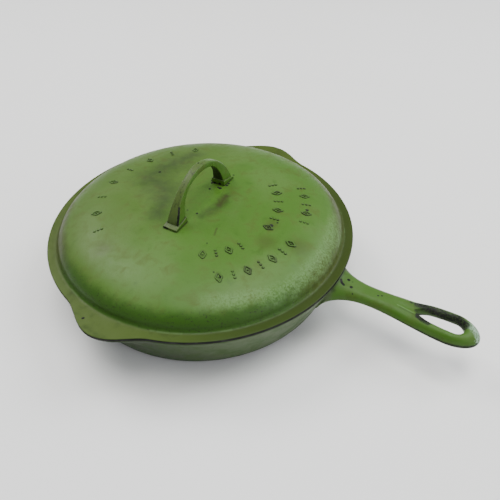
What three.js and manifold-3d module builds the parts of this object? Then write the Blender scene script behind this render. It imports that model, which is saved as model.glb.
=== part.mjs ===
// A covered cast-iron skillet with a painted outside: an open pan with two pour spouts and a long
// handle, and a domed self-basting cover that lifts off, with a strap handle on its crown.
//
// Lengths are in millimetres. The origin is at the middle of the pan's base, on the surface that
// it stands on. +Z is up, +X runs along the pan handle, and the pour spouts point to +Y and -Y.
import * as THREE from "three";
import { mergeVertices } from "three/addons/utils/BufferGeometryUtils.js";
import Module from "manifold-3d";

const wasm = await Module();
wasm.setup();

const GAP = 0.3; // left between touching castings
const TURNS = 72; // straight sides round each turned body

// Pan bowl
const RIM_RADIUS = 149;
const RIM_HEIGHT = 55.4;
const RIM_ROUND = 1.2;
const BASE_RADIUS = 119; // of the flat part of the base
const CORNER_RADIUS = 14; // outside, between base and wall
const WALL = 4;

// Pour spouts, the same in the pan's rim and in the cover's flange
const SPOUT_REACH = 13.3;
const SPOUT_HALF_ANGLE = THREE.MathUtils.degToRad(17.5);
const SPOUT_DEPTH = 21; // from the rim down to where the wall is round again

// Pan handle, one casting with the bowl
const HANDLE_START = 128; // inside the wall, cut back to it
const ROOT_FLARE = [[140, 30], [151, 15], [162, 10.2]]; // (x, half width), Bezier points to the neck
const NECK_X = 183;
const NECK_HALF_WIDTH = 10.2;
const NECK_PULL = 22; // Bezier handles between the neck and the loop
const LOOP_X = 249; // where the handle is widest
const LOOP_HALF_WIDTH = 16.2;
const HANDLE_TIP_X = 273.8;
const HOLE_POINT_X = 214.5;
const HOLE_FLARE = [222, 5.8]; // Bezier point that rounds the teardrop's flanks
const HOLE_END_X = 253; // middle of the hole's round end
const HOLE_END_PULL = 13;
const HOLE_RADIUS = 7.5;
const HANDLE_THICKNESS = 8.8;
const HANDLE_ROUND = 3.5;
const NECK_MID_HEIGHT = 44.4;
const LOOP_DROP = 3.4; // the loop hangs a little lower than the neck
const LOOP_CROWN = 1.5; // how much the loop's middle stands above its long edges
const ROOT_SWELL = 0.45; // extra thickness at the wall, as a share
const ROOT_LIFT = 1.6;
const ROOT_BLEND_END = 174;

// Cover
const COVER_RADIUS = 150;
const SEAT_HEIGHT = RIM_HEIGHT + GAP;
const FLANGE_THICKNESS = 3;
const FLARE_START = 143; // where the flange starts to follow the pan's spouts
const DOME_RADIUS = 139.6;
const DOME_RISE = 26; // above the flange's top
const DOME_POWER = 4.3; // a higher power gives a flatter top and a tighter shoulder
const INNER_RADIUS = 135.6;
const INNER_RISE = 25.3; // above the flange's underside
const SKIRT_RADIUS = 142.2; // locating skirt that drops into the rim
const SKIRT_TAPER = 2;
const SKIRT_DEPTH = 4.7;
const DRIP_RING_RADII = [22, 46, 70, 94, 114];
const DRIP_RING_DEPTH = 2.4;
const DRIP_RING_HALF_WIDTH = 2;

// Cover handle, a strap that thickens and widens down to two wedge feet
const STRAP_HALF_SPAN = 47;
const STRAP_TOP_HEIGHT = 125;
const STRAP_THICKNESS = 7; // at the top of the arch
const STRAP_POWER = 1.8;
const STRAP_INNER_HALF_SPAN = 33;
const STRAP_INNER_POWER = 2.33;
const STRAP_SUNK = 3.7; // below the crown
const STRAP_WIDTH = 7.2;
const STRAP_ROUND = 1.3;
const STRAP_FOOT_FLARE = 0.82; // extra width at the feet, as a share
const FOOT_WIDTH = 15;
const FOOT_INNER_Y = 32.2;
const FOOT_OUTER_Y = 50;
const FOOT_INNER_RISE = 5.8; // above the crown
const FOOT_OUTER_RISE = 1.6;

const CROWN_HEIGHT = SEAT_HEIGHT + FLANGE_THICKNESS + DOME_RISE;

const radians = THREE.MathUtils.degToRad;
const smoothstep = THREE.MathUtils.smoothstep;

function arc(x, y, radius, startDegrees, endDegrees, steps) {
  return Array.from({ length: steps + 1 }, (_, i) => {
    const angle = radians(startDegrees + ((endDegrees - startDegrees) * i) / steps);
    return new THREE.Vector2(x + radius * Math.cos(angle), y + radius * Math.sin(angle));
  });
}

function pointsBetween(start, end, shares) {
  return shares.map((share) => start.clone().lerp(end, share));
}

// A closed profile of (radius, height) points, turned about +Z.
function turned(profile) {
  return new THREE.LatheGeometry(profile, TURNS).rotateX(Math.PI / 2);
}

function solidOf(geometry) {
  const bare = geometry.clone().deleteAttribute("normal").deleteAttribute("uv");
  const merged = mergeVertices(bare, 1e-4);
  const vertProperties = new Float32Array(merged.attributes.position.array);
  const triVerts = new Uint32Array(merged.index.array);
  return new wasm.Manifold(new wasm.Mesh({ numProp: 3, vertProperties, triVerts }));
}

function geometryOf(solid) {
  const mesh = solid.getMesh();
  const geometry = new THREE.BufferGeometry();
  geometry.setAttribute("position", new THREE.BufferAttribute(mesh.vertProperties, 3));
  geometry.setIndex(new THREE.BufferAttribute(mesh.triVerts, 1));
  geometry.computeVertexNormals();
  return geometry;
}

// Moves every vertex by a function that edits the point in place.
function reshaped(geometry, edit) {
  const position = geometry.attributes.position;
  const point = new THREE.Vector3();
  for (let i = 0; i < position.count; i += 1) {
    edit(point.fromBufferAttribute(position, i));
    position.setXYZ(i, point.x, point.y, point.z);
  }
  return geometry;
}

// How far the rim is pushed out by the spouts, from 0 to 1, for a point's direction in plan.
function spoutShare(x, y) {
  const fromSpout = Math.atan2(Math.abs(x), Math.abs(y));
  if (fromSpout >= SPOUT_HALF_ANGLE) return 0;
  return Math.cos((Math.PI / 2) * (fromSpout / SPOUT_HALF_ANGLE)) ** 2;
}

function withSpouts(geometry, weightAt) {
  return reshaped(geometry, (point) => {
    const radius = Math.hypot(point.x, point.y);
    if (radius < 1) return;
    const push = SPOUT_REACH * spoutShare(point.x, point.y) * weightAt(radius, point.z);
    point.x *= 1 + push / radius;
    point.y *= 1 + push / radius;
  });
}

// The wall leans out along the line from the base's corner round to the rim.
function wallLean(rimRadius, cornerRadius) {
  const across = rimRadius - BASE_RADIUS;
  const up = RIM_HEIGHT - RIM_ROUND - CORNER_RADIUS;
  return Math.acos(cornerRadius / Math.hypot(across, up)) - Math.atan2(up, across);
}

function bowlProfile() {
  const lean = wallLean(RIM_RADIUS, CORNER_RADIUS);
  const leanDegrees = THREE.MathUtils.radToDeg(lean);
  const outerCorner = arc(BASE_RADIUS, CORNER_RADIUS, CORNER_RADIUS, -90, -leanDegrees, 5);
  const innerCorner = arc(BASE_RADIUS, CORNER_RADIUS, CORNER_RADIUS - WALL, -leanDegrees, -90, 4);
  const outerRim = new THREE.Vector2(RIM_RADIUS, RIM_HEIGHT - RIM_ROUND);
  const innerRim = new THREE.Vector2(RIM_RADIUS - WALL / Math.cos(lean), RIM_HEIGHT - RIM_ROUND);
  return [
    new THREE.Vector2(0, 0),
    ...outerCorner,
    ...pointsBetween(outerCorner.at(-1), outerRim, [0.45, 0.72, 0.88]),
    outerRim,
    new THREE.Vector2(outerRim.x - 0.6 * RIM_ROUND, RIM_HEIGHT),
    new THREE.Vector2(innerRim.x + 0.6 * RIM_ROUND, RIM_HEIGHT),
    innerRim,
    ...pointsBetween(innerRim, innerCorner[0], [0.2, 0.5]),
    ...innerCorner,
    new THREE.Vector2(0, WALL),
  ];
}

function bowlGeometry() {
  const spoutBottom = RIM_HEIGHT - SPOUT_DEPTH;
  return withSpouts(turned(bowlProfile()), (radius, height) =>
    smoothstep(height, spoutBottom, RIM_HEIGHT),
  );
}

// The space that the bowl fills, a gap larger all round and open to above the rim.
function bowlEnvelope() {
  const lean = wallLean(RIM_RADIUS, CORNER_RADIUS);
  const leanDegrees = THREE.MathUtils.radToDeg(lean);
  const corner = arc(BASE_RADIUS, CORNER_RADIUS, CORNER_RADIUS + GAP, -90, -leanDegrees, 5);
  return turned([
    new THREE.Vector2(0, -GAP),
    ...corner,
    new THREE.Vector2(RIM_RADIUS + GAP / Math.cos(lean), RIM_HEIGHT - RIM_ROUND),
    new THREE.Vector2(RIM_RADIUS + GAP / Math.cos(lean), CROWN_HEIGHT),
    new THREE.Vector2(0, CROWN_HEIGHT),
  ]);
}

// One long edge of the handle, from the root out to the loop, on the side that is asked for.
function handleEdge(side) {
  const [root, flare, neckPull] = ROOT_FLARE.map(([x, half]) => new THREE.Vector2(x, side * half));
  const neck = new THREE.Vector2(NECK_X, side * NECK_HALF_WIDTH);
  const loop = new THREE.Vector2(LOOP_X, side * LOOP_HALF_WIDTH);
  const afterNeck = new THREE.Vector2(NECK_X + NECK_PULL, neck.y);
  const beforeLoop = new THREE.Vector2(LOOP_X - NECK_PULL, loop.y);
  return [
    ...new THREE.CubicBezierCurve(root, flare, neckPull, neck).getPoints(8),
    ...new THREE.CubicBezierCurve(neck, afterNeck, beforeLoop, loop).getPoints(7).slice(1),
  ];
}

function handleOutline() {
  const shape = new THREE.Shape();
  shape.moveTo(HANDLE_START, -ROOT_FLARE[0][1]);
  handleEdge(-1).forEach((point) => shape.lineTo(point.x, point.y));
  const tipLength = HANDLE_TIP_X - LOOP_X;
  shape.absellipse(LOOP_X, 0, tipLength, LOOP_HALF_WIDTH, -Math.PI / 2, Math.PI / 2, false);
  handleEdge(1).reverse().forEach((point) => shape.lineTo(point.x, point.y));
  shape.lineTo(HANDLE_START, ROOT_FLARE[0][1]);
  return shape;
}

// A teardrop with its point towards the bowl.
function hangingHole() {
  const hole = new THREE.Path();
  const [flareX, flareY] = HOLE_FLARE;
  const pullX = HOLE_END_X - HOLE_END_PULL;
  hole.moveTo(HOLE_POINT_X, 0);
  hole.bezierCurveTo(flareX, flareY, pullX, HOLE_RADIUS, HOLE_END_X, HOLE_RADIUS);
  hole.absarc(HOLE_END_X, 0, HOLE_RADIUS, Math.PI / 2, -Math.PI / 2, true);
  hole.bezierCurveTo(pullX, -HOLE_RADIUS, flareX, -flareY, HOLE_POINT_X, 0);
  return hole;
}

function panHandleGeometry() {
  const outline = handleOutline();
  outline.holes.push(hangingHole());
  const plate = new THREE.ExtrudeGeometry(outline, {
    depth: HANDLE_THICKNESS - 2 * HANDLE_ROUND,
    curveSegments: 7,
    bevelThickness: HANDLE_ROUND,
    bevelSize: HANDLE_ROUND,
    bevelOffset: -HANDLE_ROUND,
    bevelSegments: 2,
  });
  plate.translate(0, 0, HANDLE_ROUND - HANDLE_THICKNESS / 2);
  reshaped(plate, (point) => {
    const root = 1 - smoothstep(point.x, RIM_RADIUS, ROOT_BLEND_END);
    const drop = LOOP_DROP * smoothstep(point.x, NECK_X, HANDLE_TIP_X);
    const outward = Math.abs(point.y) / LOOP_HALF_WIDTH;
    const crown = LOOP_CROWN * smoothstep(point.x, NECK_X, LOOP_X) * (1 - outward ** 2);
    point.z *= 1 + ROOT_SWELL * root;
    point.z += NECK_MID_HEIGHT + ROOT_LIFT * root + crown - drop;
  });
  return geometryOf(solidOf(plate).subtract(solidOf(bowlEnvelope())));
}

// A superellipse quarter from its rim, at 0 degrees, to its crown, at 90.
function domePoint(radius, base, rise, degrees) {
  const angle = radians(degrees);
  const across = radius * Math.cos(angle) ** (2 / DOME_POWER);
  return new THREE.Vector2(across, base + rise * Math.sin(angle));
}

function undersideHeight(radius) {
  return SEAT_HEIGHT + INNER_RISE * Math.sqrt(1 - (radius / INNER_RADIUS) ** DOME_POWER);
}

// One ridge that lets the drops fall: up its inner side, its edge, and its outer side.
function dripRing(radius) {
  const inner = radius - DRIP_RING_HALF_WIDTH;
  const outer = radius + DRIP_RING_HALF_WIDTH;
  return [
    new THREE.Vector2(inner, undersideHeight(inner)),
    new THREE.Vector2(radius, undersideHeight(radius) - DRIP_RING_DEPTH),
    new THREE.Vector2(outer, undersideHeight(outer)),
  ];
}

function coverOutside(gap) {
  const top = SEAT_HEIGHT + FLANGE_THICKNESS;
  const steps = [4, 13, 22, 30, 39, 51, 65, 78];
  return [
    ...steps.map((degrees) => domePoint(DOME_RADIUS + gap, top, DOME_RISE + gap, degrees)),
    new THREE.Vector2(0, top + DOME_RISE + gap),
  ];
}

function coverProfile() {
  const top = SEAT_HEIGHT + FLANGE_THICKNESS;
  const skirtBottom = SEAT_HEIGHT - SKIRT_DEPTH;
  return [
    new THREE.Vector2(0, undersideHeight(0)),
    ...DRIP_RING_RADII.flatMap(dripRing),
    ...[30, 18, 7].map((degrees) => domePoint(INNER_RADIUS, SEAT_HEIGHT, INNER_RISE, degrees)),
    new THREE.Vector2(INNER_RADIUS - 0.4, skirtBottom),
    new THREE.Vector2(SKIRT_RADIUS - SKIRT_TAPER, skirtBottom),
    new THREE.Vector2(SKIRT_RADIUS, SEAT_HEIGHT),
    new THREE.Vector2(COVER_RADIUS - 0.5, SEAT_HEIGHT),
    new THREE.Vector2(COVER_RADIUS, SEAT_HEIGHT + 0.5),
    new THREE.Vector2(COVER_RADIUS, top - 0.8),
    new THREE.Vector2(COVER_RADIUS - 0.8, top),
    new THREE.Vector2(DOME_RADIUS + 3, top),
    new THREE.Vector2(DOME_RADIUS + 1, top + 0.6),
    ...coverOutside(0),
  ];
}

function coverGeometry() {
  return withSpouts(turned(coverProfile()), (radius) =>
    THREE.MathUtils.clamp((radius - FLARE_START) / (COVER_RADIUS - FLARE_START - 1), 0, 1),
  );
}

// The space below and inside the cover's outer face, a gap larger.
function coverEnvelope() {
  return turned([
    new THREE.Vector2(0, SEAT_HEIGHT),
    new THREE.Vector2(DOME_RADIUS + GAP, SEAT_HEIGHT),
    ...coverOutside(GAP),
  ]);
}

// Half of a superellipse arch over the span, from +Y to -Y.
function archPoints(halfSpan, topHeight, power, steps) {
  const base = CROWN_HEIGHT - STRAP_SUNK;
  return Array.from({ length: steps + 1 }, (_, i) => {
    const angle = (Math.PI * i) / steps;
    const across = Math.sign(Math.cos(angle)) * Math.abs(Math.cos(angle)) ** (2 / power);
    const up = Math.sin(angle) ** (2 / power);
    return new THREE.Vector2(halfSpan * across, base + (topHeight - base) * up);
  });
}

function strapGeometry() {
  const innerTop = STRAP_TOP_HEIGHT - STRAP_THICKNESS;
  const outer = archPoints(STRAP_HALF_SPAN, STRAP_TOP_HEIGHT, STRAP_POWER, 20);
  const inner = archPoints(STRAP_INNER_HALF_SPAN, innerTop, STRAP_INNER_POWER, 16);
  const strap = new THREE.ExtrudeGeometry(new THREE.Shape([...outer, ...inner.reverse()]), {
    depth: STRAP_WIDTH - 2 * STRAP_ROUND,
    bevelThickness: STRAP_ROUND,
    bevelSize: STRAP_ROUND,
    bevelOffset: -STRAP_ROUND,
    bevelSegments: 1,
  });
  strap.translate(0, 0, STRAP_ROUND - STRAP_WIDTH / 2);
  const alongY = new THREE.Vector3(0, 1, 0);
  const alongZ = new THREE.Vector3(0, 0, 1);
  const alongX = new THREE.Vector3(1, 0, 0);
  strap.applyMatrix4(new THREE.Matrix4().makeBasis(alongY, alongZ, alongX));
  return reshaped(strap, (point) => {
    const low = 1 - smoothstep(point.z, CROWN_HEIGHT, innerTop);
    point.x *= 1 + STRAP_FOOT_FLARE * low ** 1.6;
  });
}

// A wedge whose top climbs from its outer end to the arch's inner face.
function footGeometry(side) {
  const sunk = 6; // below the crown, cut back to the dome
  const length = FOOT_OUTER_Y - FOOT_INNER_Y;
  const foot = new THREE.BoxGeometry(FOOT_WIDTH, length, sunk);
  foot.translate(0, side * (FOOT_INNER_Y + length / 2), CROWN_HEIGHT - sunk / 2);
  return reshaped(foot, (point) => {
    if (point.z < CROWN_HEIGHT - sunk / 2) return;
    const inward = (FOOT_OUTER_Y - side * point.y) / length;
    point.z += THREE.MathUtils.lerp(FOOT_OUTER_RISE, FOOT_INNER_RISE, inward);
  });
}

function coverHandleGeometry() {
  let solid = solidOf(strapGeometry());
  for (const side of [-1, 1]) solid = solid.add(solidOf(footGeometry(side)));
  return geometryOf(solid.subtract(solidOf(coverEnvelope())));
}

function paint(color) {
  return new THREE.MeshStandardMaterial({ color, roughness: 0.42, metalness: 0 });
}

function named(name, geometry, color) {
  const mesh = new THREE.Mesh(geometry, paint(color));
  mesh.name = name;
  return mesh;
}

const skillet = new THREE.Group();
skillet.add(named("pan_bowl", bowlGeometry(), "#4f6a3c"));
skillet.add(named("pan_handle", panHandleGeometry(), "#5c8742"));

const cover = new THREE.Group();
cover.add(named("cover_dome", coverGeometry(), "#6d9449"));
cover.add(named("cover_handle", coverHandleGeometry(), "#67904a"));

const group = new THREE.Group();
group.add(skillet, cover);

export default group;
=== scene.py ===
import math

import bmesh
import bpy
import numpy as np
from mathutils import Matrix, Vector


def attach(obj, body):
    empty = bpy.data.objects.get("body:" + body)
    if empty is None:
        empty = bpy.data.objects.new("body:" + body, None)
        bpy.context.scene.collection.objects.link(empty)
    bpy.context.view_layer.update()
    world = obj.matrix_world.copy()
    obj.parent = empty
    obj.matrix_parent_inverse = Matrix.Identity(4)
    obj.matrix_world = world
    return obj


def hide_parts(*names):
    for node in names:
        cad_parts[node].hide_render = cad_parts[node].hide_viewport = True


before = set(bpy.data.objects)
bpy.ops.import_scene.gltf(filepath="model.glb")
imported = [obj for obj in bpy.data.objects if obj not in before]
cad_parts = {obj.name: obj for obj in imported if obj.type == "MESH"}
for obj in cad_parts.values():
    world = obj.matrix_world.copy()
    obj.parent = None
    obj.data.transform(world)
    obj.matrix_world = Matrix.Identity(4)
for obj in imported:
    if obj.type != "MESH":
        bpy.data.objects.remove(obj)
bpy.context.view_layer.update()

MM = 0.001

# Pan bowl
RIM_RADIUS = 149.0
RIM_HEIGHT = 55.4
RIM_ROUND = 1.2
BASE_RADIUS = 119.0
CORNER_RADIUS = 14.0
WALL = 4.0
BOWL_TURNS = 300

# Pour spouts
SPOUT_REACH = 13.3
SPOUT_HALF_ANGLE = math.radians(17.5)
SPOUT_DEPTH = 21.0

# Pan handle
HANDLE_START = 130.0
ROOT_CURVE = ((140, 30), (151, 15), (162, 10.2), (183, 10.2))
SHAFT_CURVE = ((183, 10.2), (205, 10.2), (227, 16.2), (249, 16.2))
TIP_LENGTH = 25.4
HOLE_CURVE = ((217.8, 0), (221.5, 5.4), (240, 7.4), (252.6, 7.5))
HOLE_END_LENGTH = 7.9
HANDLE_X = (150, 160, 172, 183, 215, 250, 274)
HANDLE_BOTTOM = (39.4, 39.7, 39.9, 39.7, 38.2, 36.9, 36.3)
HANDLE_TOP = (52.4, 50.9, 49.3, 48.8, 48.2, 47.3, 46.9)
HANDLE_MIDDLE = 43.0
HANDLE_LIP = 2.2
HANDLE_POWER = 2.15
TROUGH_DEPTH = 1.1
TROUGH_HALF_WIDTH = 3.0
ROOT_FILLET = 7.0

# Cover
COVER_RADIUS = 150.0
SEAT_HEIGHT = 55.7
FLANGE_THICKNESS = 3.0
FLANGE_LOW_ROUND = 0.7
FLANGE_TOP_ROUND = 0.9
FLANGE_TOP = SEAT_HEIGHT + FLANGE_THICKNESS
FLARE_START = 143.0
FLARE_LENGTH = 5.6
DOME_RADIUS = 139.6
DOME_RISE = 26.0
DOME_POWER = 4.3
CROWN_HEIGHT = FLANGE_TOP + DOME_RISE
INNER_RADIUS = 135.6
INNER_RISE = 25.3
SKIRT_RADIUS = 142.2
SKIRT_TAPER = 2.0
SKIRT_DEPTH = 4.7
DRIP_RING_RADII = (22, 46, 70, 94, 114)
DRIP_RING_DEPTH = 2.4
DRIP_RING_HALF_WIDTH = 2.4
COVER_TURNS = 360

# Strap handle of the cover
STRAP_HALF_SPAN = 46.5
STRAP_FAR_HALF_SPAN = 48.7
STRAP_TOP = 125.0
STRAP_THICKNESS = 7.0
STRAP_POWER = 1.8
STRAP_INNER_HALF_SPAN = 33.0
STRAP_INNER_POWER = 2.33
STRAP_SUNK = 3.7
STRAP_WIDTH = 7.2
STRAP_CORNER = 1.3
STRAP_FOOT_FLARE = 0.82
STRAP_LEAN = 1.2
FOOT_WIDTH = 15.0
FOOT_INNER_Y = 32.2
FOOT_OUTER_Y = 50.0
FOOT_INNER_RISE = 5.8
FOOT_OUTER_RISE = 1.6
FOOT_SUNK = 5.0
FOOT_BEVEL = 0.5

# Ornament
LOZENGE_HALF_WIDTH = 2.9
LOZENGE_HALF_HEIGHT = 4.9
LOZENGE_PIP_RADIUS = 0.9
PIP_RADIUS = 1.25
PIP_SPACING = 3.4

# Camera: where it stands, in degrees and metres, and how its view is then turned
CAMERA_AZIMUTH = 36.8
CAMERA_ELEVATION = 43.8
CAMERA_DISTANCE = 0.545
CAMERA_PAN = -5.14
CAMERA_TILT = 1.08
CAMERA_ROLL = 5.33

# Area lights as (name, place, target, size, power, colour), in metres and watts
LIGHTS = (
    ("window_right", (1.1, 1.5, 2.0), (0, 0, 0), (1.4, 1.4), 42.0, (0.95, 0.98, 1.0)),
    ("window_left", (-1.7, 0.3, 2.0), (0, 0, 0), (1.1, 1.1), 36.0, (1.0, 0.99, 0.95)),
    ("ceiling", (0.1, 0.0, 2.3), (0, 0, 0), (1.6, 1.1), 42.0, (1.0, 0.99, 0.97)),
    ("window_side", (1.9, -0.3, 0.9), (0.3, -0.1, 0), (1.2, 0.9), 12.0, (0.96, 0.98, 1.0)),
)


# -------- shapes


def smoothstep(value, low, high):
    """0 below low, 1 above high and smooth between."""
    share = np.clip((np.asarray(value, float) - low) / (high - low), 0.0, 1.0)
    return share * share * (3.0 - 2.0 * share)


def arc(x, y, radius, start, end, steps):
    """Points on an arc, both ends included, with angles in degrees."""
    angles = np.radians(np.linspace(start, end, steps + 1))
    return [(x + radius * math.cos(a), y + radius * math.sin(a)) for a in angles]


def straight(start, end, steps):
    """Points from start to end, both left out."""
    run_x, run_y = end[0] - start[0], end[1] - start[1]
    shares = [(i + 1) / (steps + 1) for i in range(steps)]
    return [(start[0] + run_x * share, start[1] + run_y * share) for share in shares]


def bezier(points, share):
    a, b, c, d = (np.asarray(p, float) for p in points)
    rest = 1.0 - share
    return a * rest**3 + 3 * b * share * rest**2 + 3 * c * share**2 * rest + d * share**3


def spout_share(x, y):
    """How far a spout pushes the rim out, from 0 to 1, for a direction in plan."""
    from_spout = np.arctan2(np.abs(x), np.abs(y)) / SPOUT_HALF_ANGLE
    return np.where(from_spout < 1.0, np.cos(np.minimum(from_spout, 1.0) * math.pi / 2) ** 2, 0.0)


def plan_radius(points):
    """Distances from the Z axis."""
    return np.hypot(points[:, 0], points[:, 1])


def uneven(points, amount):
    """Low waves that keep a sand casting from looking machined, as an offset per point."""
    x, y, z = points[:, 0], points[:, 1], points[:, 2]
    waves = np.sin(0.041 * x + 0.023 * y + 0.9) + np.sin(0.019 * x - 0.052 * y + 2.1)
    waves += 0.6 * np.sin(0.093 * x + 0.071 * y + 0.05 * z + 4.0)
    waves += 0.4 * np.sin(0.151 * x - 0.117 * y + 0.08 * z + 1.3)
    return amount * waves / 3.0


def new_object(name, points, faces):
    mesh = bpy.data.meshes.new(name)
    mesh.from_pydata([tuple(p) for p in np.asarray(points) * MM], [], faces)
    made = bmesh.new()
    made.from_mesh(mesh)
    bmesh.ops.remove_doubles(made, verts=made.verts, dist=1e-6)
    bmesh.ops.recalc_face_normals(made, faces=made.faces)
    made.to_mesh(mesh)
    made.free()
    obj = bpy.data.objects.new(name, mesh)
    bpy.context.scene.collection.objects.link(obj)
    return obj


def lathe(name, profile, turns, push_weight=None):
    """Turns a profile of (radius, height) about Z. It starts and ends on the axis."""
    ring_profile = np.array(profile[1:-1], float)
    angles = np.linspace(0.0, 2.0 * math.pi, turns, endpoint=False)
    radii, heights = ring_profile[:, 0][:, None], ring_profile[:, 1][:, None]
    x, y = radii * np.cos(angles), radii * np.sin(angles)
    z = np.broadcast_to(heights, x.shape)
    if push_weight is not None:
        push = SPOUT_REACH * spout_share(x, y) * push_weight(radii, heights)
        x, y = x * (1.0 + push / radii), y * (1.0 + push / radii)
    rings = np.stack([x, y, z], axis=2).reshape(-1, 3)
    points = np.vstack([rings, [(0, 0, profile[0][1])], [(0, 0, profile[-1][1])]])
    start, end = len(rings), len(rings) + 1
    count = len(ring_profile)
    faces = []
    for j in range(turns):
        k = (j + 1) % turns
        faces.append((start, j, k))
        faces.append((end, (count - 1) * turns + k, (count - 1) * turns + j))
        for i in range(count - 1):
            faces.append((i * turns + j, (i + 1) * turns + j, (i + 1) * turns + k, i * turns + k))
    return new_object(name, points, faces)


def combine(target, others, operation):
    """Joins or cuts closed shapes for good, and throws the other shapes away."""
    for other in others:
        modifier = target.modifiers.new(operation, "BOOLEAN")
        modifier.operation = operation
        modifier.solver = "EXACT"
        modifier.object = other
        shape = target.evaluated_get(bpy.context.evaluated_depsgraph_get())
        joined = bpy.data.meshes.new_from_object(shape)
        target.modifiers.clear()
        old = target.data
        target.data = joined
        bpy.data.meshes.remove(old)
        bpy.data.meshes.remove(other.data)


def shade(obj, sharp_degrees):
    obj.data.polygons.foreach_set("use_smooth", [True] * len(obj.data.polygons))
    obj.data.set_sharp_from_angle(angle=math.radians(sharp_degrees))


def vertex_points(obj):
    points = np.zeros(len(obj.data.vertices) * 3)
    obj.data.vertices.foreach_get("co", points)
    return points.reshape(-1, 3) / MM


def store(obj, name, values):
    layer = obj.data.attributes.new(name, "FLOAT", "POINT")
    layer.data.foreach_set("value", np.asarray(values, np.float32))


def move_vertices(obj, points):
    obj.data.vertices.foreach_set("co", (points * MM).ravel())
    obj.data.update()


# -------- pan


def wall_lean():
    """Angle of the wall from upright, so that it meets the base's corner without a kink."""
    across = RIM_RADIUS - BASE_RADIUS
    up = RIM_HEIGHT - RIM_ROUND - CORNER_RADIUS
    return math.acos(CORNER_RADIUS / math.hypot(across, up)) - math.atan2(up, across)


def wall_radius(height):
    """Outer radius of the straight part of the wall at a height."""
    return RIM_RADIUS - (RIM_HEIGHT - RIM_ROUND - np.asarray(height)) * math.tan(wall_lean())


def bowl_profile():
    lean = math.degrees(wall_lean())
    outer_corner = arc(BASE_RADIUS, CORNER_RADIUS, CORNER_RADIUS, -90, -lean, 14)
    inner_corner = arc(BASE_RADIUS, CORNER_RADIUS, CORNER_RADIUS - WALL, -lean, -90, 12)
    inner_rim_radius = RIM_RADIUS - WALL / math.cos(wall_lean())
    shoulder = RIM_HEIGHT - RIM_ROUND
    outer_round = arc(RIM_RADIUS - RIM_ROUND, shoulder, RIM_ROUND, 0, 90, 4)
    inner_round = arc(inner_rim_radius + RIM_ROUND, shoulder, RIM_ROUND, 90, 180, 4)
    flat = [(radius, 0.0) for radius in (15, 35, 60, 85, 105, 114)]
    floor = [(radius, WALL) for radius in (114, 105, 85, 60, 35, 15)]
    return [
        (0.0, 0.0),
        *flat,
        *outer_corner,
        *straight(outer_corner[-1], outer_round[0], 20),
        *outer_round,
        *inner_round,
        *straight(inner_round[-1], inner_corner[0], 20),
        *inner_corner,
        *floor,
        (0.0, WALL),
    ]


def handle_stations():
    """Pairs of (outer, inner) points in plan from the root to the tip, and how each one closes.

    Up to the hole's point the inner points lie on the middle line, after it on the hole's edge.
    """
    root = [np.array((x, ROOT_CURVE[0][1])) for x in np.linspace(HANDLE_START, 138.0, 5)]
    root += [bezier(ROOT_CURVE, share) for share in np.linspace(0.0, 1.0, 27)]
    hole_start = HOLE_CURVE[0][0]
    shaft_share = np.linspace(0.0, 1.0, 200)
    shaft_points = np.array([bezier(SHAFT_CURVE, share) for share in shaft_share])
    hole_points = np.array([bezier(HOLE_CURVE, share) for share in shaft_share])
    stations = [(outer, np.array((outer[0], 0.0)), False) for outer in root]
    for x in np.linspace(ROOT_CURVE[-1][0], hole_start, 20)[1:]:
        half = np.interp(x, shaft_points[:, 0], shaft_points[:, 1])
        stations.append((np.array((x, half)), np.array((x, 0.0)), False))
    loop_x, hole_end_x = SHAFT_CURVE[-1][0], HOLE_CURVE[-1][0]
    for share in (np.linspace(0.0, 1.0, 23)[1:]) ** 1.35:
        x = hole_start + (loop_x - hole_start) * share
        inner_x = hole_start + (hole_end_x - hole_start) * share
        half = np.interp(x, shaft_points[:, 0], shaft_points[:, 1])
        inner = np.interp(inner_x, hole_points[:, 0], hole_points[:, 1])
        stations.append((np.array((x, half)), np.array((inner_x, inner)), True))
    loop_half, hole_half = SHAFT_CURVE[-1][1], HOLE_CURVE[-1][1]
    for angle in np.linspace(math.pi / 2, 0.0, 25)[1:]:
        outer = (loop_x + TIP_LENGTH * math.cos(angle), loop_half * math.sin(angle))
        inner = (hole_end_x + HOLE_END_LENGTH * math.cos(angle), hole_half * math.sin(angle))
        stations.append((np.array(outer), np.array(inner), True))
    return stations


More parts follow.
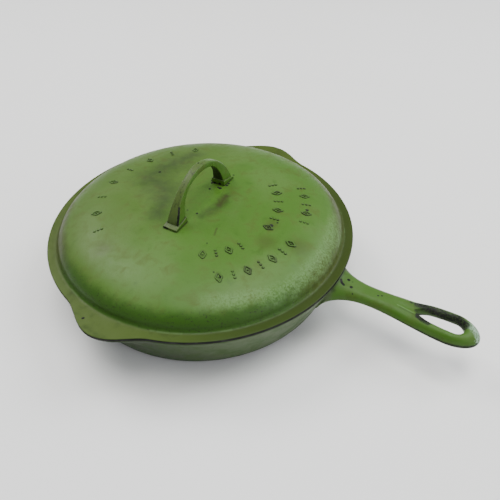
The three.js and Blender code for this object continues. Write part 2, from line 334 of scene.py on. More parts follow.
def handle_section(outer, inner, closed):
    """One section of the handle as points, from its inner side round below to its inner side."""
    x = 0.5 * (outer[0] + inner[0])
    width = float(np.hypot(*(outer - inner)))
    hole_start = HOLE_CURVE[0][0]
    bottom = np.interp(x, HANDLE_X, HANDLE_BOTTOM)
    top = np.interp(x, HANDLE_X, HANDLE_TOP)
    if closed:
        # The hole's edge is sharp at its point and gets rounder towards the tip.
        opened = float(smoothstep(x, hole_start, hole_start + 15.0))
        inner_top = 0.5 + 2.9 * opened
        inner_low = 0.5 + 4.0 * opened
        waist_low = waist_top = bottom + 0.63 * (top - bottom)
    else:
        near_hole = float(smoothstep(x, hole_start - 14.0, hole_start))
        inner_top = inner_low = 3.0 - 2.5 * near_hole
        waist_low, waist_top = bottom, top
    section = []
    for angle in np.radians(np.linspace(0, 90, 7)):
        drop = (waist_low - bottom) * math.sin(angle)
        section.append((inner_low * (1 - math.cos(angle)), waist_low - drop))
    flat_end = width - HANDLE_LIP
    for share in (0.25, 0.5, 0.75):
        section.append((inner_low + (flat_end - inner_low) * share, bottom))
    section += arc(flat_end, bottom + HANDLE_LIP, HANDLE_LIP, -90, 0, 5)
    edge = bottom + HANDLE_LIP
    across = width - inner_top
    for angle in np.radians(np.linspace(0, 90, 15)[1:]):
        rise = math.sin(angle) ** (2 / HANDLE_POWER)
        run = across * (1 - math.cos(angle) ** (2 / HANDLE_POWER))
        section.append((width - run, edge + (top - edge) * rise))
    for angle in np.radians(np.linspace(0, 90, 7)[1:]):
        rise = (top - waist_top) * math.cos(angle)
        section.append((inner_top * (1 - math.sin(angle)), waist_top + rise))
    direction = (outer - inner) / max(width, 1e-6)
    plan = [inner + direction * along for along, _ in section]
    return [(p[0], p[1], height) for p, (_, height) in zip(plan, section)]


def handle_points(stations):
    """Points of the +Y half, one section after the other."""
    points = np.array([p for station in stations for p in handle_section(*station)])
    # The hole's rim runs out into a shallow trough on the shaft.
    trough = smoothstep(points[:, 0], 198, 218) * (1 - smoothstep(points[:, 0], 224, 236))
    trough *= np.exp(-((points[:, 1] / TROUGH_HALF_WIDTH) ** 2)) * (points[:, 2] > HANDLE_MIDDLE)
    points[:, 2] -= TROUGH_DEPTH * trough
    # A fillet at the root, where the handle meets the wall, is deeper below than above.
    out = plan_radius(points) - wall_radius(points[:, 2])
    short = ROOT_FILLET - np.clip(out, 0, ROOT_FILLET)
    fillet = ROOT_FILLET - np.sqrt(ROOT_FILLET**2 - short**2)
    points[:, 2] += np.where(points[:, 2] > HANDLE_MIDDLE + 3, 0.2, -0.7) * fillet
    return points


def handle_faces(stations, size):
    """Faces of both halves. The -Y half's points follow the +Y half's in the same order."""
    faces = []
    total = len(stations) * size
    for offset in (0, total):
        for i in range(len(stations) - 1):
            first, second = offset + i * size, offset + (i + 1) * size
            for k in range(size - 1):
                faces.append((first + k, first + k + 1, second + k + 1, second + k))
            if stations[i + 1][2] and not stations[i][2]:
                faces.append((first, first + size - 1, second))
    faces.append((*range(size), *[total + k for k in range(size - 2, 0, -1)]))
    return faces


def handle_twins(stations, size):
    """Pairs of points that lie on the same spot, as a point and the one that stands for it."""
    twins = {}
    total = len(stations) * size
    for i, (_, _, closed) in enumerate(stations):
        first, last = i * size, (i + 1) * size - 1
        if closed:
            twins[last] = first
            twins[total + last] = total + first
        else:
            twins[total + first] = first
            twins[total + last] = last
    for k in range(total - size, total):
        twins[total + k] = twins.get(k, k)
    return twins


def handle_object():
    stations = handle_stations()
    points = handle_points(stations)
    size = len(points) // len(stations)
    twins = handle_twins(stations, size)
    faces = []
    for face in handle_faces(stations, size):
        corners = []
        for index in face:
            while index in twins:
                index = twins[index]
            if index not in corners:
                corners.append(index)
        if len(corners) > 2:
            faces.append(tuple(corners))
    used = sorted({index for face in faces for index in face})
    place = {index: i for i, index in enumerate(used)}
    faces = [tuple(place[index] for index in face) for face in faces]
    both = np.vstack([points, points * np.array((1.0, -1.0, 1.0))])
    return new_object("handle_shape", both[used], faces)


def skillet_object():
    spout_bottom = RIM_HEIGHT - SPOUT_DEPTH
    bowl = lathe(
        "skillet_casting",
        bowl_profile(),
        BOWL_TURNS,
        lambda radii, heights: smoothstep(heights, spout_bottom, RIM_HEIGHT),
    )
    handle = handle_object()
    # The handle's start is trimmed to the middle of the wall before the two are joined.
    low, high = 20.0, 62.0
    inside = [(wall_radius(height) - WALL / 2, height) for height in (low, high)]
    cutter = lathe("cutter", [(0.0, low), *inside, (0.0, high)], BOWL_TURNS)
    combine(handle, [cutter], "DIFFERENCE")
    combine(bowl, [handle], "UNION")
    points = vertex_points(bowl)
    radius = plan_radius(points)
    level = points[:, 2]
    above_base = smoothstep(level, 2.0, 12.0)
    swell = uneven(points, 0.22) * above_base * (1 - smoothstep(level, 50, 54)) / radius
    on_wall = radius > 100
    points[on_wall, :2] *= 1 + swell[on_wall, None]
    move_vertices(bowl, points)
    inner_limit = wall_radius(np.clip(level, 14, 60)) - 2.2
    push = SPOUT_REACH * spout_share(points[:, 0], points[:, 1])
    push *= smoothstep(level, spout_bottom, RIM_HEIGHT)
    outside = smoothstep(radius - push - inner_limit, -0.8, 1.2)
    outside = np.maximum(outside, 1 - smoothstep(level, 1.0, 3.0))
    outside *= 1 - smoothstep(level - RIM_HEIGHT, -0.9, -0.1) * (radius < 165)
    store(bowl, "paint", outside)
    shade(bowl, 38)
    return bowl


# -------- cover


def dome_point(radius, base, rise, degrees):
    angle = math.radians(degrees)
    return radius * math.cos(angle) ** (2 / DOME_POWER), base + rise * math.sin(angle)


def dome_height(radius):
    """Outer face of the cover at a distance from its axis."""
    share = np.clip(np.asarray(radius, float) / DOME_RADIUS, 0.0, 1.0)
    return FLANGE_TOP + DOME_RISE * np.sqrt(1.0 - share**DOME_POWER)


def underside_height(radius):
    plain = SEAT_HEIGHT + INNER_RISE * math.sqrt(1 - (radius / INNER_RADIUS) ** DOME_POWER)
    for ring in DRIP_RING_RADII:
        off = abs(radius - ring) / DRIP_RING_HALF_WIDTH
        if off < 1:
            plain -= DRIP_RING_DEPTH * math.cos(off * math.pi / 2) ** 1.4
    return plain


def cover_profile():
    skirt_bottom = SEAT_HEIGHT - SKIRT_DEPTH
    radii = [6.0, 14.0]
    for ring in DRIP_RING_RADII:
        across = (-1.3, -1, -0.7, -0.35, 0, 0.35, 0.7, 1, 1.3)
        radii += [ring + DRIP_RING_HALF_WIDTH * share for share in across]
        radii.append(ring + 11.0)
    inside = [(radius, underside_height(radius)) for radius in radii if radius < 124]
    inside += [
        dome_point(INNER_RADIUS, SEAT_HEIGHT, INNER_RISE, degrees)
        for degrees in (34, 28, 22, 16, 10, 5, 1)
    ]
    outside = [
        dome_point(DOME_RADIUS, FLANGE_TOP, DOME_RISE, degrees)
        for degrees in np.concatenate([np.arange(6, 40, 2), np.arange(40, 80, 2.5), [82, 86]])
    ]
    low, top = FLANGE_LOW_ROUND, FLANGE_TOP_ROUND
    corner_low = arc(COVER_RADIUS - low, SEAT_HEIGHT + low, low, -90, 0, 3)
    corner_top = arc(COVER_RADIUS - top, FLANGE_TOP - top, top, 0, 90, 4)
    flange = [(radius, FLANGE_TOP) for radius in np.arange(148.6, 143.0, -0.7)]
    fillet = [
        (DOME_RADIUS + out, FLANGE_TOP + up)
        for out, up in ((3.0, 0.04), (2.1, 0.2), (1.3, 0.55), (0.6, 1.15), (0.1, 1.95))
    ]
    middle = [(radius, float(dome_height(radius))) for radius in (34, 26, 18, 10, 4)]
    return [
        (0.0, underside_height(0.0)),
        *inside,
        (INNER_RADIUS - 0.4, skirt_bottom + 0.8),
        (INNER_RADIUS + 0.2, skirt_bottom),
        (SKIRT_RADIUS - SKIRT_TAPER - 0.6, skirt_bottom),
        (SKIRT_RADIUS - SKIRT_TAPER, skirt_bottom + 0.6),
        (SKIRT_RADIUS, SEAT_HEIGHT),
        *[(radius, SEAT_HEIGHT) for radius in (FLARE_START, 144.5, 146, 147.5, 148.7)],
        *corner_low,
        *corner_top,
        *flange,
        *fillet,
        *outside,
        *middle,
        (0.0, CROWN_HEIGHT),
    ]


def rounded_rectangle(half_across, half_up, corner, steps):
    """Points round a rectangle with round corners, centred on the origin."""
    points = []
    for centre_x, centre_y, start in (
        (half_across - corner, half_up - corner, 0),
        (corner - half_across, half_up - corner, 90),
        (corner - half_across, corner - half_up, 180),
        (half_across - corner, corner - half_up, 270),
    ):
        points += arc(centre_x, centre_y, corner, start, start + 90, steps)
    return points


def arch_point(angle, half_span, top, power):
    """A point of a superellipse arch that starts a little below the crown."""
    base = CROWN_HEIGHT - STRAP_SUNK
    side = math.copysign(1.0, math.cos(angle))
    across = side * abs(math.cos(angle)) ** (2 / power)
    up = math.sin(angle) ** (2 / power)
    return np.array((half_span * across, base + (top - base) * up))


def strap_object():
    stations = 64
    section_steps = 5
    points, faces = [], []
    for i in range(stations + 1):
        angle = math.pi * i / stations
        half_span = STRAP_FAR_HALF_SPAN if angle < math.pi / 2 else STRAP_HALF_SPAN
        outer = arch_point(angle, half_span, STRAP_TOP, STRAP_POWER)
        inner_top = STRAP_TOP - STRAP_THICKNESS
        inner = arch_point(angle, STRAP_INNER_HALF_SPAN, inner_top, STRAP_INNER_POWER)
        middle = (outer + inner) / 2
        thick = outer - inner
        half_thick = float(np.hypot(*thick)) / 2
        thick /= 2 * half_thick
        low = 1 - float(smoothstep(middle[1], CROWN_HEIGHT, STRAP_TOP - STRAP_THICKNESS))
        half_width = STRAP_WIDTH / 2 * (1 + STRAP_FOOT_FLARE * low**1.6)
        lean = STRAP_LEAN * math.sin(angle)
        for x, v in rounded_rectangle(half_width, half_thick, STRAP_CORNER, section_steps):
            y, z = middle + thick * v
            points.append((x, y + lean, z))
    size = len(points) // (stations + 1)
    for i in range(stations):
        for k in range(size):
            m = (k + 1) % size
            faces.append((i * size + k, (i + 1) * size + k, (i + 1) * size + m, i * size + m))
    faces.append(tuple(range(size)))
    faces.append(tuple(stations * size + k for k in range(size)))
    return new_object("strap_shape", points, faces)


def foot_object(side):
    """A wedge pad that is highest on the side of the arch's middle."""
    half = FOOT_WIDTH / 2
    outer_y, inner_y = side * FOOT_OUTER_Y, side * FOOT_INNER_Y
    bottom = CROWN_HEIGHT - FOOT_SUNK
    low_top, high_top = CROWN_HEIGHT + FOOT_OUTER_RISE, CROWN_HEIGHT + FOOT_INNER_RISE
    points = []
    for x in (-half, half):
        points += [(x, outer_y, bottom), (x, inner_y, bottom)]
        points += [(x, inner_y, high_top), (x, outer_y, low_top)]
    faces = [(0, 1, 2, 3), (4, 5, 6, 7)]
    faces += [(k, (k + 1) % 4, 4 + (k + 1) % 4, 4 + k) for k in range(4)]
    foot = new_object("foot_shape", points, faces)
    made = bmesh.new()
    made.from_mesh(foot.data)
    rounding = {"offset": FOOT_BEVEL * MM, "segments": 3, "profile": 0.5, "affect": "EDGES"}
    bmesh.ops.bevel(made, geom=made.edges, **rounding)
    made.to_mesh(foot.data)
    made.free()
    return foot


def cover_object():
    dome = lathe(
        "cover_casting",
        cover_profile(),
        COVER_TURNS,
        lambda radii, heights: np.clip((radii - FLARE_START) / FLARE_LENGTH, 0.0, 1.0),
    )
    points = vertex_points(dome)
    radius = plan_radius(points)
    points[:, 2] += uneven(points, 0.3) * (1 - smoothstep(radius, 105, 130))
    move_vertices(dome, points)
    combine(dome, [strap_object(), foot_object(1), foot_object(-1)], "UNION")
    points = vertex_points(dome)
    radius = plan_radius(points)
    flat_radius = radius - SPOUT_REACH * spout_share(points[:, 0], points[:, 1])
    level = points[:, 2]
    # Bare iron on the flange's outer edge and underside, which also stands in as painted shadow in
    # the gap over the pan's rim
    edge = smoothstep(flat_radius, COVER_RADIUS - 0.7, COVER_RADIUS - 0.05)
    edge *= 1 - smoothstep(level, FLANGE_TOP - 0.5, FLANGE_TOP + 0.05)
    edge = np.maximum(edge, (radius > FLARE_START + 1.5) * (level < SEAT_HEIGHT + 0.9))
    outside = np.where(level > dome_height(radius) - 1.6, 1.0, 0.0)
    outside = np.maximum(outside, (radius > FLARE_START + 0.5) * (level > SEAT_HEIGHT + 0.9))
    store(dome, "paint", outside)
    store(dome, "edge", edge)
    shade(dome, 38)
    return dome


# -------- ornament


def on_dome(plan_points, heights):
    plan = np.asarray(plan_points, float)
    return np.column_stack([plan, dome_height(plan_radius(plan)) + np.asarray(heights)])


def ridge_loop(path, centre, turn, points, faces):
    """A low rounded ridge round a closed path, laid on the dome."""
    section = ((-0.85, -0.5), (-0.8, 0.25), (-0.45, 0.75), (0.0, 0.9))
    section += ((0.45, 0.75), (0.8, 0.25), (0.85, -0.5))
    start = len(points)
    count = len(path)
    path = np.asarray(path, float)
    ahead, behind = np.roll(path, -1, axis=0), np.roll(path, 1, axis=0)
    along = ahead - behind
    along /= np.hypot(along[:, 0], along[:, 1])[:, None]
    sideways = np.column_stack([-along[:, 1], along[:, 0]])
    rotation = np.array(((math.cos(turn), -math.sin(turn)), (math.sin(turn), math.cos(turn))))
    plan, heights = [], []
    for i in range(count):
        for across, up in section:
            plan.append(rotation @ (path[i] + sideways[i] * across) + centre)
            heights.append(up)
    points.extend(on_dome(plan, heights))
    size = len(section)
    for i in range(count):
        first, second = start + i * size, start + (i + 1) % count * size
        for k in range(size):
            m = (k + 1) % size
            faces.append((first + k, second + k, second + m, first + m))


def pip(centre, radius, points, faces):
    """A low round button on the dome, closed below."""
    start = len(points)
    turns = 14
    rows = ((1.0, -0.5), (0.97, 0.25), (0.75, 0.65), (0.4, 0.85))
    plan, heights = [], []
    for share, up in rows:
        for j in range(turns):
            angle = 2 * math.pi * j / turns
            reach = radius * share
            plan.append((centre[0] + reach * math.cos(angle), centre[1] + reach * math.sin(angle)))
            heights.append(up)
    plan += [tuple(centre), tuple(centre)]
    heights += [0.9, -0.5]
    points.extend(on_dome(plan, heights))
    top, bottom = start + len(rows) * turns, start + len(rows) * turns + 1
    for j in range(turns):
        k = (j + 1) % turns
        for i in range(len(rows) - 1):
            low, high = start + i * turns, start + (i + 1) * turns
            faces.append((low + j, low + k, high + k, high + j))
        last = start + (len(rows) - 1) * turns
        faces.append((last + j, last + k, top))
        faces.append((start + k, start + j, bottom))


def lozenge(half_width, half_height):
    """A rhombus path with softened corners."""
    corners = ((half_width, 0), (0, half_height), (-half_width, 0), (0, -half_height))
    path = []
    for i in range(4):
        a, b = np.array(corners[i], float), np.array(corners[(i + 1) % 4], float)
        path += [tuple(a + (b - a) * share) for share in (0.1, 0.3, 0.5, 0.7, 0.9)]
    return path


def ornament_object():
    points, faces = [], []
    # Short arcs as (radius, bearings in degrees)
    rows = (
        (76.0, np.concatenate([np.arange(-55, -28, 8.8), np.arange(-2, 60, 10.4)])),
        (103.0, np.concatenate([np.arange(-48, -4, 7.1), np.arange(13, 45, 7.6)])),
        (99.5, np.arange(127.0, 234.0, 15.14)),
    )
    for arc_radius, bearings in rows:
        for number, bearing in enumerate(bearings):
            angle = math.radians(bearing)
            outward = np.array((math.cos(angle), math.sin(angle)))
            centre = arc_radius * outward
            if number % 2 == 0:
                path = lozenge(LOZENGE_HALF_WIDTH, LOZENGE_HALF_HEIGHT)
                ridge_loop(path, centre, angle + math.pi / 2, points, faces)
                pip(centre, LOZENGE_PIP_RADIUS, points, faces)
            else:
                for step in (-PIP_SPACING, 0.0, PIP_SPACING):
                    pip(centre + outward * step, PIP_RADIUS, points, faces)
    return new_object("cover_ornament", np.array(points), faces)


# -------- materials


class Graph:
    """Adds nodes to one material. Values may be numbers, vectors, colours or sockets."""

    def __init__(self, name):
        self.material = bpy.data.materials.new(name)
        self.material.use_nodes = True
        self.tree = self.material.node_tree
        self.tree.nodes.clear()
        coordinates = self.node("TexCoord").outputs
        self.place = self.vector("SCALE", coordinates["Object"], scale=1 / MM)
        self.x, self.y, self.z = self.node("SeparateXYZ", Vector=self.place).outputs
        facing = self.node("SeparateXYZ", Vector=coordinates["Normal"])
        self.facing_x, self.facing_y, self.facing_z = facing.outputs

    def put(self, socket, value):
        if isinstance(value, bpy.types.NodeSocket):
            self.tree.links.new(value, socket)
        elif isinstance(value, tuple) and len(value) == 3 and socket.type == "RGBA":
            socket.default_value = (*value, 1.0)
        else:
            socket.default_value = value

    def node(self, kind, **inputs):
        """Adds a node and fills in its inputs, whose names have _ for a space."""
        node = self.tree.nodes.new("ShaderNode" + kind)
        for name, value in inputs.items():
            self.put(node.inputs[name.replace("_", " ")], value)
        return node

    def math(self, operation, *values):
        node = self.node("Math")
        node.operation = operation
        for socket, value in zip(node.inputs, values):
            self.put(socket, value)
        return node.outputs[0]

    def vector(self, operation, *values, scale=None):
        node = self.node("VectorMath")
        node.operation = operation
        for socket, value in zip(node.inputs, values):
            self.put(socket, value)
        if scale is not None:
            self.put(node.inputs["Scale"], scale)
        return node.outputs["Value" if operation in ("DOT_PRODUCT", "LENGTH") else "Vector"]

    def plus(self, value, noise, amount):
        return self.math("MULTIPLY_ADD", noise, amount, value)

    def without(self, value):
        return self.math("SUBTRACT", 1.0, value)

    def times(self, *values):
        found = values[0]
        for value in values[1:]:
            found = self.math("MULTIPLY", found, value)
        return found

    def mix(self, share, first, second):
        """Mixes two colours."""
        node = self.node("Mix", Factor=share)
        node.data_type = "RGBA"
        self.put(node.inputs[6], first)
        self.put(node.inputs[7], second)
        return node.outputs[2]

    def tint(self, colour, towards, mask, most=1.0):
        """Moves a colour towards another one where a mask is 1, by at most a share."""
        return self.mix(self.math("MULTIPLY", mask, most), colour, towards)

    def blend(self, share, first, second):
        """Mixes two numbers."""
        return self.node("Mix", Factor=share, A=first, B=second).outputs[0]

    def step(self, value, low, high, to_low=0.0, to_high=1.0):
        ends = {"From_Min": low, "From_Max": high, "To_Min": to_low, "To_Max": to_high}
        node = self.node("MapRange", Value=value, **ends)
        node.interpolation_type = "SMOOTHSTEP"
        return node.outputs[0]

    def noise(self, size, detail=3.0, roughness=0.55, stretch=None, warp=0.0):
        """Noise from 0 to 1 with patches of about the size in millimetres."""
        place = self.vector("MULTIPLY", self.place, stretch) if stretch else self.place
        looks = {"Detail": detail, "Roughness": roughness, "Distortion": warp}
        return self.node("TexNoise", Vector=place, Scale=1.0 / size, **looks).outputs["Fac"]

    def pits(self, size, depth_share):
        """Sparse round dots, 1 in their middle."""
        dots = self.node("TexVoronoi", Vector=self.place, Scale=1.0 / size).outputs
        near = self.step(dots["Distance"], 0.03, depth_share, 1, 0)
        draw = self.node("SeparateColor", Color=dots["Color"]).outputs[0]
        return self.math("MULTIPLY", near, self.step(draw, 0.72, 0.78))

    def within(self, offset, radius, softness, ragged, reach):
        """1 where an offset is shorter than a radius. Noise makes the edge ragged."""
        away = self.plus(self.vector("LENGTH", offset), self.math("SUBTRACT", ragged, 0.5), reach)
        return self.step(away, radius - softness, radius + softness, 1, 0)

    def near(self, centre, *how_near):
        """1 near a point and 0 away from it."""
        return self.within(self.vector("SUBTRACT", self.place, centre), *how_near)

    def streak(self, stops, *how_near):
        """1 near a line through some points and 0 away from it."""
        found = []
        for start, end in zip(stops[:-1], stops[1:]):
            run = Vector(end) - Vector(start)
            moved = self.vector("SUBTRACT", self.place, start)
            share = self.vector("DOT_PRODUCT", moved, tuple(run / run.length_squared))
            share = self.math("MINIMUM", self.math("MAXIMUM", share, 0), 1.0)
            nearest = self.vector("SCALE", tuple(run), scale=share)
            found.append(self.within(self.vector("SUBTRACT", moved, nearest), *how_near))
        return self.most(found)

    def most(self, values):
        found = values[0]
        for value in values[1:]:
            found = self.math("MAXIMUM", found, value)
        return found

    def attribute(self, name):
        node = self.node("Attribute")
        node.attribute_name = name
        return node.outputs["Fac"]

    def bump(self, height, distance_mm, strength, below=None):
        node = self.node("Bump", Height=height, Distance=distance_mm * MM, Strength=strength)
        if below is not None:
            self.put(node.inputs["Normal"], below)
        return node.outputs["Normal"]

    def crevices(self, distance_mm):
        """1 in the open and 0 deep in a corner."""
        node = self.node("AmbientOcclusion", Distance=distance_mm * MM)
        node.samples = 6
        return node.outputs["AO"]

    def edges(self, radius_mm):
        """1 on edges that stick out, from how a rounded normal differs from the true one."""
        bevel = self.node("Bevel", Radius=radius_mm * MM)
        bevel.samples = 6
        true = self.node("NewGeometry").outputs["Normal"]
        alike = self.vector("DOT_PRODUCT", bevel.outputs[0], true)
        return self.step(alike, 0.90, 0.99, 1, 0)

    def finish(self, colour, roughness, normal, gloss):
        looks = {"Base_Color": colour, "Roughness": roughness, "Specular_IOR_Level": gloss}
        surface = self.node("BsdfPrincipled", IOR=1.5, Normal=normal, **looks)
        self.node("OutputMaterial", Surface=surface.outputs[0])
        return self.material


GREEN = (0.050, 0.125, 0.012)
GREEN_PALE = (0.066, 0.140, 0.024)
GREEN_DEEP = (0.022, 0.066, 0.004)
OLIVE = (0.056, 0.075, 0.008)
# Dark grime, also used as painted shade under the strap's arch, in corners and on the ornament's
# sides
GRIME_AND_SHADE = (0.016, 0.022, 0.007)
RUST = (0.034, 0.030, 0.008)
IRON = (0.006, 0.006, 0.0055)
IRON_GREY = (0.028, 0.028, 0.026)
SCUFF_AND_HIGHLIGHT = (0.118, 0.225, 0.074)
PALE_EDGE_AND_HIGHLIGHT = (0.30, 0.44, 0.18)
PALE_TIP = (0.30, 0.42, 0.33)
OLIVE_DARK = (0.040, 0.052, 0.006)
STRAP_WORN = (0.058, 0.088, 0.020)
WALL_GREY_LIT = (0.060, 0.088, 0.034)
WALL_SHADE = (0.012, 0.018, 0.004)
FLANGE_OLIVE = (0.048, 0.078, 0.010)
FLANGE_DARK = (0.018, 0.032, 0.003)

# Chips through to the iron, as (x, y, z, radius)
COVER_CHIPS = (
    (-8.5, 35, 85, 1.6),
    (-6, 31, 85, 1.4),
    (-3.5, 32, 85, 1.3),
    (2, 32, 86, 1.4),
    (5.5, 27, 85, 1.9),
    (3, 27.5, 85, 1.4),
    (-2.5, 21, 85, 1.3),
    (9, 34.5, 85, 1.4),
    (9, 38, 85, 1.4),
    (5.5, 54, 85, 0.9),
    (-2.5, -18, 85, 0.9),
    (-6, -31, 86, 1.5),
    (2, -29.5, 86, 1.7),
    (8, -18, 85, 1.1),
    (-65.5, 22, 84, 1.4),
    (-16.5, -152.5, 58.5, 1.1),
    (70, -75, 82, 1.9),
    (62.5, -74, 82, 0.7),
    (77, 1.5, 83, 2.0),
    (80, 8, 83, 1.0),
    (95, 41.5, 82, 2.0),
    (84.5, 61.5, 82, 1.2),
    (132, -73.5, 60, 1.2),
    (-3, -14, 118, 1.0),
    (-1.5, 4, 125, 0.9),
)
SKILLET_CHIPS = (
    (156.5, 2, 51, 1.5),
    (161.5, -4.5, 50, 1.5),
    (160.5, 2, 50, 0.9),
    (156, -12.5, 50, 0.8),
    (165, -9.5, 48, 0.7),
    (185.5, -1, 48.5, 0.8),
    (188.5, 0.5, 48.5, 0.8),
    (116.5, -88.5, 35, 1.2),
    (273.5, -6, 41, 1.6),
    (270, -10, 40, 1.2),
)


def painted_base(graph):
    """The mottled green that both castings share."""
    broad = graph.noise(55.0, 2.0)
    patchy = graph.noise(14.0, 4.0, 0.62, warp=0.4)
    fine = graph.noise(2.2, 3.0, 0.6)
    colour = graph.mix(graph.step(broad, 0.38, 0.64), GREEN, GREEN_PALE)
    colour = graph.mix(graph.step(patchy, 0.48, 0.74, 0, 0.60), colour, OLIVE)
    colour = graph.mix(graph.step(patchy, 0.44, 0.24, 0, 0.35), colour, GREEN_DEEP)
    colour = graph.mix(graph.step(fine, 0.58, 0.80, 0, 0.30), colour, GREEN_DEEP)
    return colour, patchy, fine


def bare_iron(graph, patches):
    return graph.mix(graph.step(patches, 0.35, 0.75), IRON, IRON_GREY)


def unpainted_share(graph, fine):
    """1 where the mesh says that the iron has no paint, with a ragged edge."""
    return graph.step(graph.plus(graph.attribute("paint"), fine, 0.4), 0.75, 0.6)


def casting_bump(graph, swell, dents):
    """Low waves, a fine sandy grain and the depth of the chips."""
    normal = graph.bump(graph.noise(16.0, 2.0), 0.5, swell)
    normal = graph.bump(graph.noise(1.6, 4.0, 0.6), 0.12, 0.35, normal)
    mask, strength = dents
    return graph.bump(graph.without(mask), 0.2, strength, normal)


def cover_handling(graph, colour, patchy, fine, smoky):
    """Soot, brown handling marks and stains round the strap."""
    top = CROWN_HEIGHT
    soot = graph.most(
        [
            graph.streak([(-24, -36, top), (-34, -10, top)], 7, 12, smoky, 18.0),
            graph.streak([(-40, -2, top), (-68, 10, top), (-62, 45, top)], 12, 20, smoky, 30.0),
            graph.streak([(-62, 45, top), (-54, 69, top)], 7, 13, smoky, 20.0),
        ]
    )
    aged = graph.step(graph.plus(graph.x, smoky, -40.0), 5.0, -75.0, 0, 0.3)
    smudge = graph.streak([(13, -19, top), (20, 0, top), (18, 19, top)], 4, 6, smoky, 12.0)
    brown = graph.most(
        [
            graph.streak([(20, 4, top), (18, 19, top)], 2.5, 4, smoky, 9.0),
            graph.streak([(36, -27, top), (39, -36, top)], 0.7, 0.9, fine, 2.0),
        ]
    )
    stains = graph.most(
        [
            graph.near((83, -20, 83), 8, 6, patchy, 14.0),
            graph.near((77, 3, 83), 6, 5, patchy, 12.0),
            graph.near((110, -8, 80), 9, 7, patchy, 16.0),
            graph.near((-40, -95, 83), 8, 8, smoky, 18.0),
        ]
    )
    colour = graph.tint(colour, OLIVE, aged)
    colour = graph.tint(colour, GRIME_AND_SHADE, soot, 0.62)
    colour = graph.tint(colour, GRIME_AND_SHADE, smudge, 0.55)
    colour = graph.tint(colour, RUST, brown, 0.7)
    return graph.tint(colour, OLIVE_DARK, stains, 0.5)


def cover_rim(graph, colour, patchy, smoky, radius, outward):
    """The shoulder's dark foot, partly grime and partly painted shade, green at the front and
    olive elsewhere, and the olive flange.
    """
    front = graph.step(graph.vector("DOT_PRODUCT", outward, (0.34, -0.94, 0)), 0.45, 0.75)
    # Partly grime, partly painted shade: the shoulder's foot is darkened, a deeper green on the
    # front side
    shoulder_grime_and_shade = graph.step(graph.plus(radius, smoky, 9.0), 130.0, 140.0)
    specks = graph.times(shoulder_grime_and_shade, graph.step(graph.noise(1.8, 3.0, 0.7), 0.57, 0.65))
    flange = graph.step(graph.plus(radius, patchy, 2.0), 141.5, 143.5)
    dark = graph.step(patchy, 0.45, 0.75, 0, 0.6)
    dark = graph.most([dark, graph.step(graph.x, 20.0, 120.0, 0, 0.75)])
    colour = graph.tint(colour, graph.mix(front, OLIVE_DARK, GREEN_DEEP), shoulder_grime_and_shade, 0.9)
    colour = graph.tint(colour, GRIME_AND_SHADE, specks, 0.85)
    colour = graph.tint(colour, graph.mix(dark, FLANGE_OLIVE, FLANGE_DARK), flange, 0.94)
    return colour, flange


def cover_rubbed_and_highlight(graph, patchy, radius, outward):
    """Pale marks: rubbed paint with a painted highlight on the shoulder by the pan handle, and a
    painted highlight along the fillet.
    """
    rubbed_noise = graph.noise(2.2, 5.0, 0.78, warp=0.4)
    right = graph.step(graph.vector("DOT_PRODUCT", outward, (0.97, -0.24, 0)), 0.66, 0.88)
    wander = graph.plus(graph.math("SUBTRACT", radius, 138.0), patchy, 14.0)
    wander = graph.math("ADD", wander, graph.step(graph.y, -45.0, -105.0, 0, 8.0))
    ring = graph.step(graph.math("ABSOLUTE", wander), 11.0, 2.0)
    # Painted highlight: a pale line along the fillet at the dome's foot
    fillet = graph.step(graph.math("ABSOLUTE", graph.math("SUBTRACT", radius, 141.6)), 1.3, 0.2)
    fillet = graph.times(fillet, graph.step(patchy, 0.50, 0.66), 0.35)
    return graph.most([graph.times(right, ring, graph.step(rubbed_noise, 0.34, 0.62)), fillet])


def strap_wear_and_light(graph, colour, fine):
    """A worn dirty outer face, painted shade under the arch, and pale edges on the feet: worn
    paint and a painted highlight.
    """
    top = CROWN_HEIGHT
    on_strap = graph.step(graph.z, top + 0.5, top + 1.0)
    side_face = graph.step(graph.math("ABSOLUTE", graph.facing_x), 0.55, 0.85)
    not_side = graph.without(side_face)
    rise = graph.times(graph.math("SUBTRACT", graph.z, top), graph.facing_z)
    out = graph.plus(rise, graph.y, graph.facing_y)
    outer_face = graph.times(on_strap, not_side, graph.step(out, -3, 3))
    above_feet = graph.step(graph.z, top + 4.0, top + 7.0)
    # Painted shade: the arch's underside above the feet is mixed towards the dark grime colour
    arch_underside_shade = graph.times(not_side, graph.step(out, 3, -3), above_feet, 0.9)
    near_half = graph.step(graph.y, 22.0, -8.0, 0.35, 1.0)
    scratches = graph.noise(2.6, 4.0, 0.7, (1.0, 0.4, 0.4), 0.5)
    dirt = graph.times(outer_face, near_half, graph.step(scratches, 0.52, 0.66), 0.8)
    # Partly rubbed paint, partly a painted highlight: the feet's top edges are lightened to a pale
    # green
    foot_edge_wear_and_highlight = graph.times(on_strap, graph.step(graph.z, top + 8.0, top + 6.5), graph.edges(0.6))
    foot_edge_wear_and_highlight = graph.times(foot_edge_wear_and_highlight, graph.step(fine, 0.30, 0.45))
    colour = graph.tint(colour, STRAP_WORN, graph.times(outer_face, near_half), 0.9)
    colour = graph.mix(graph.most([dirt, arch_underside_shade]), colour, GRIME_AND_SHADE)
    return graph.tint(colour, PALE_EDGE_AND_HIGHLIGHT, foot_edge_wear_and_highlight, 0.8), foot_edge_wear_and_highlight


def cover_chips(graph, fine, smoky):
    chips = [graph.near(place, size, 0.4, fine, 2.2) for *place, size in COVER_CHIPS]
    chips.append(graph.streak([(4.5, -38, 103), (6, -45, 88.5)], 1.1, 0.35, fine, 1.8))
    chips.append(graph.streak([(-7.5, -50, 85.5), (-2, -50, 85.5)], 0.8, 0.3, fine, 1.2))
    chips.append(graph.streak([(141, -34, 62), (138, -47, 62)], 1.2, 1.0, smoky, 5.0))
    return graph.most([*chips, graph.pits(21.0, 0.055)])


